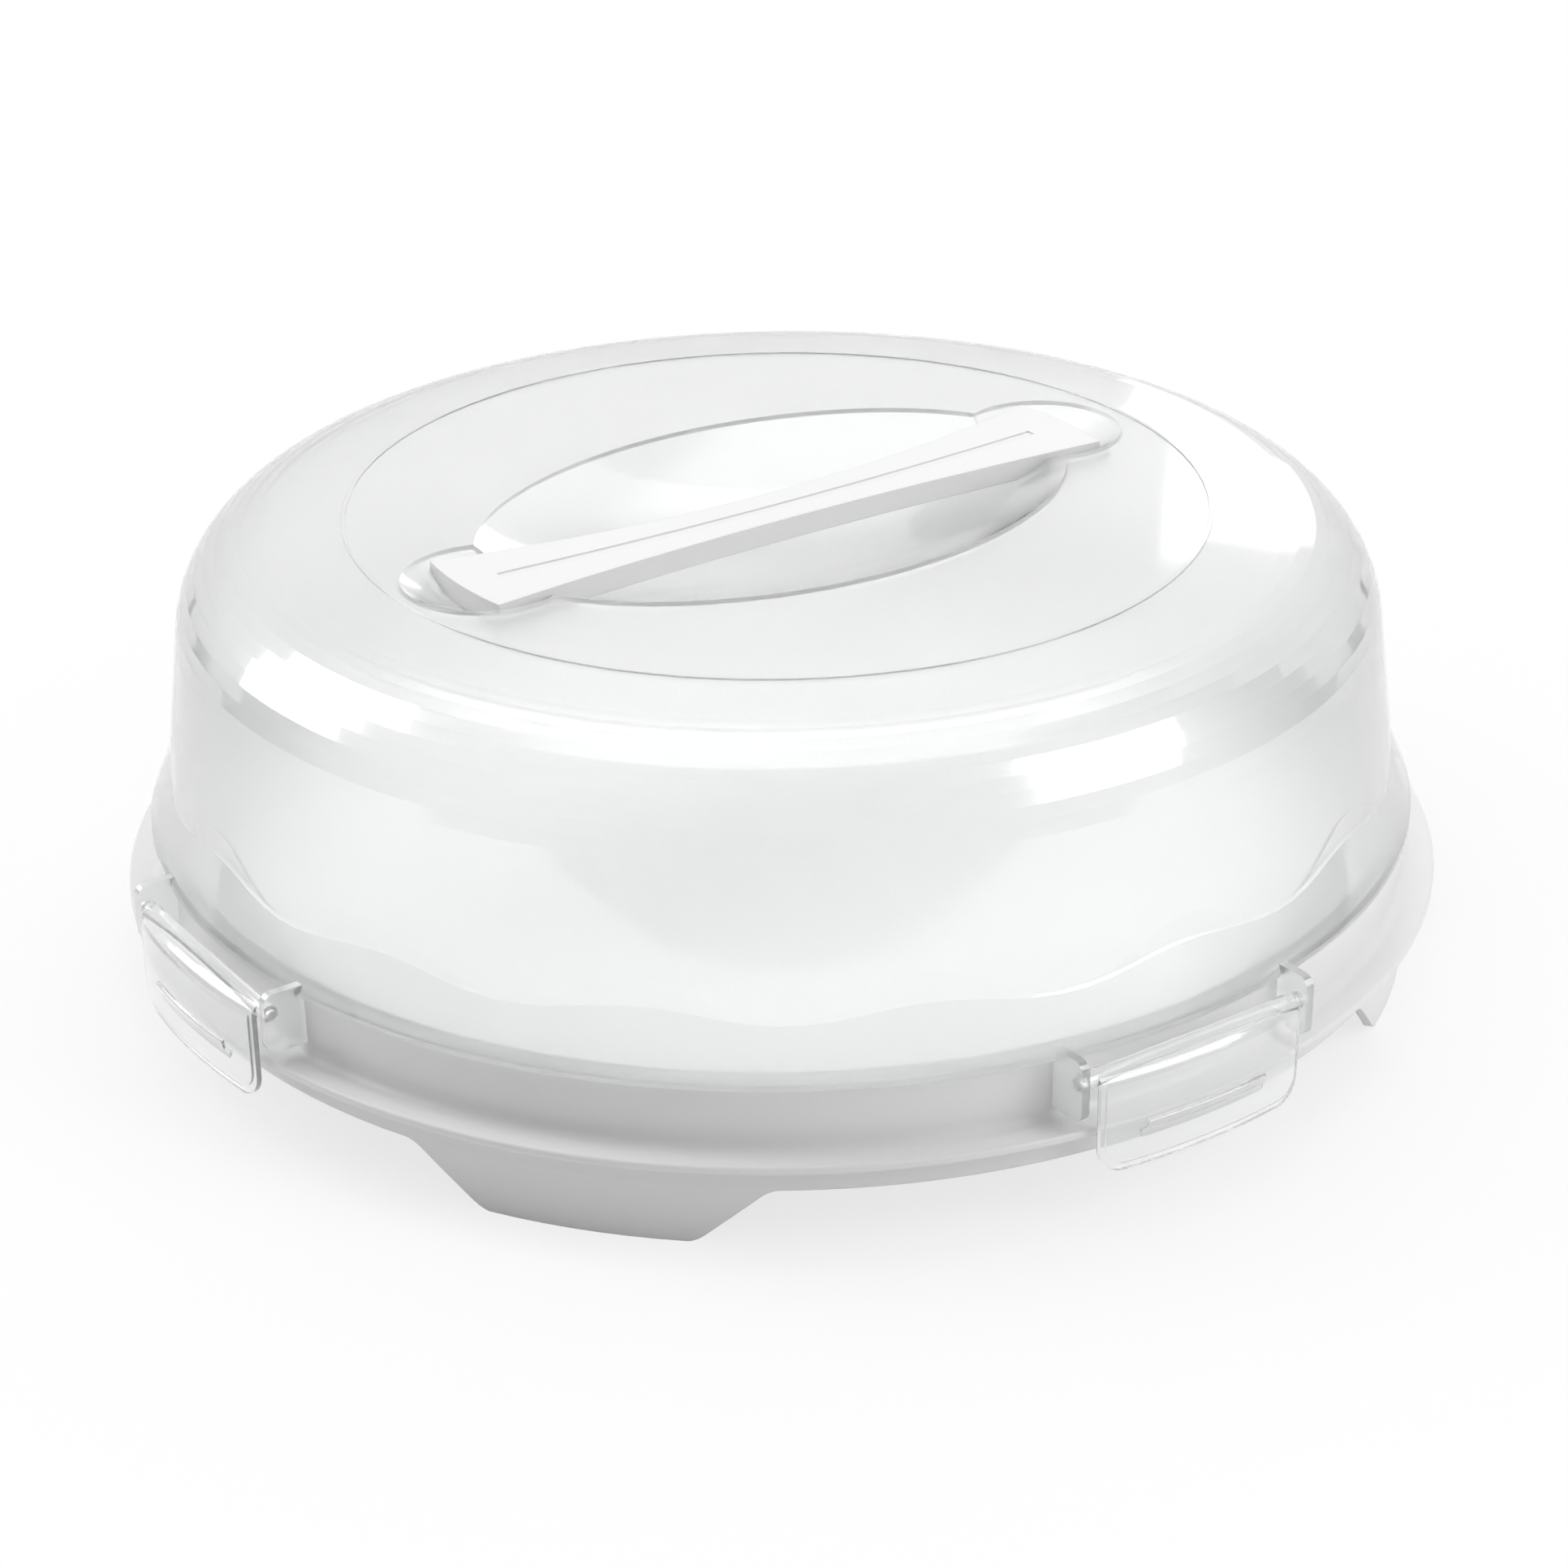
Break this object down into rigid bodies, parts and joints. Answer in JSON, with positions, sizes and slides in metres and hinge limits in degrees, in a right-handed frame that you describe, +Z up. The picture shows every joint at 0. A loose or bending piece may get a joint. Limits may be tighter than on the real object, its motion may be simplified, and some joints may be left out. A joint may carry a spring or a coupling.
{
  "type": "cake carrier",
  "caption": "Round cake carrier: white footed tray, clear domed lid with a carry handle across its top, and clips round the rim that hook under the tray's lip.",
  "frame": {"origin": "centre of the tray on the surface it stands on", "axes": "+Z up along the tray's axis; X along the carry handle; one clip on each of +X, +Y, -X and -Y"},
  "size_m": [0.3674, 0.3674, 0.1234],
  "materials": {
    "white_plastic": "satin",
    "clear_plastic": "smooth and milky clear"
  },
  "bodies": {
    "tray": {"base_tray": "white_plastic"},
    "lid": {"lid_dome": "clear_plastic", "carry_handle": "white_plastic"},
    "clip_right": {"clip_right": "clear_plastic"},
    "clip_back": {"clip_back": "clear_plastic"},
    "clip_left": {"clip_left": "clear_plastic"},
    "clip_front": {"clip_front": "clear_plastic"}
  },
  "joints": [
    {"name": "lid_lift", "type": "slide", "parent": "tray", "child": "lid", "axis": [0, 0, 1], "range_m": [0, 0.12]},
    {"name": "clip_right_hinge", "type": "hinge", "parent": "lid", "child": "clip_right", "pos_m": [0.1763, 0, 0.03945], "axis": [0, -1, 0], "range_deg": [-3.5, 105]},
    {"name": "clip_back_hinge", "type": "hinge", "parent": "lid", "child": "clip_back", "pos_m": [0, 0.1763, 0.03945], "axis": [1, 0, 0], "range_deg": [-3.5, 105]},
    {"name": "clip_left_hinge", "type": "hinge", "parent": "lid", "child": "clip_left", "pos_m": [-0.1763, 0, 0.03945], "axis": [0, 1, 0], "range_deg": [-3.5, 105]},
    {"name": "clip_front_hinge", "type": "hinge", "parent": "lid", "child": "clip_front", "pos_m": [0, -0.1763, 0.03945], "axis": [-1, 0, 0], "range_deg": [-3.5, 105]}
  ]
}
